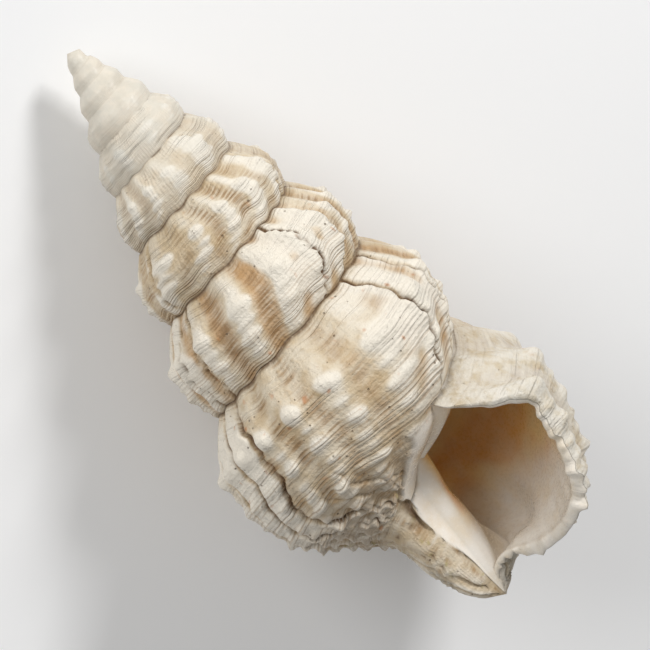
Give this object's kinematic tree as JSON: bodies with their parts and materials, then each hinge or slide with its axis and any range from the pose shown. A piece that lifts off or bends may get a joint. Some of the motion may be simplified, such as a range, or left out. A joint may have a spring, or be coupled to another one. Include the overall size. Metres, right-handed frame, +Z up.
{
  "type": "horn shell",
  "caption": "Tall spired sea snail shell, dextral and knobbly, lying on its back with its wide mouth and short canal facing up.",
  "frame": {"origin": "on the ground under the middle of the lying shell's box", "axes": "+X along the shell towards the apex of the spire, +Z up out of the mouth, +Y across the shell"},
  "size_m": [0.116, 0.0554, 0.0531],
  "materials": {
    "shell": "chalky worn shell, cream with tan stains, smooth porcelain gloss inside the mouth"
  },
  "bodies": {
    "root": {"shell": "shell"}
  },
  "joints": []
}
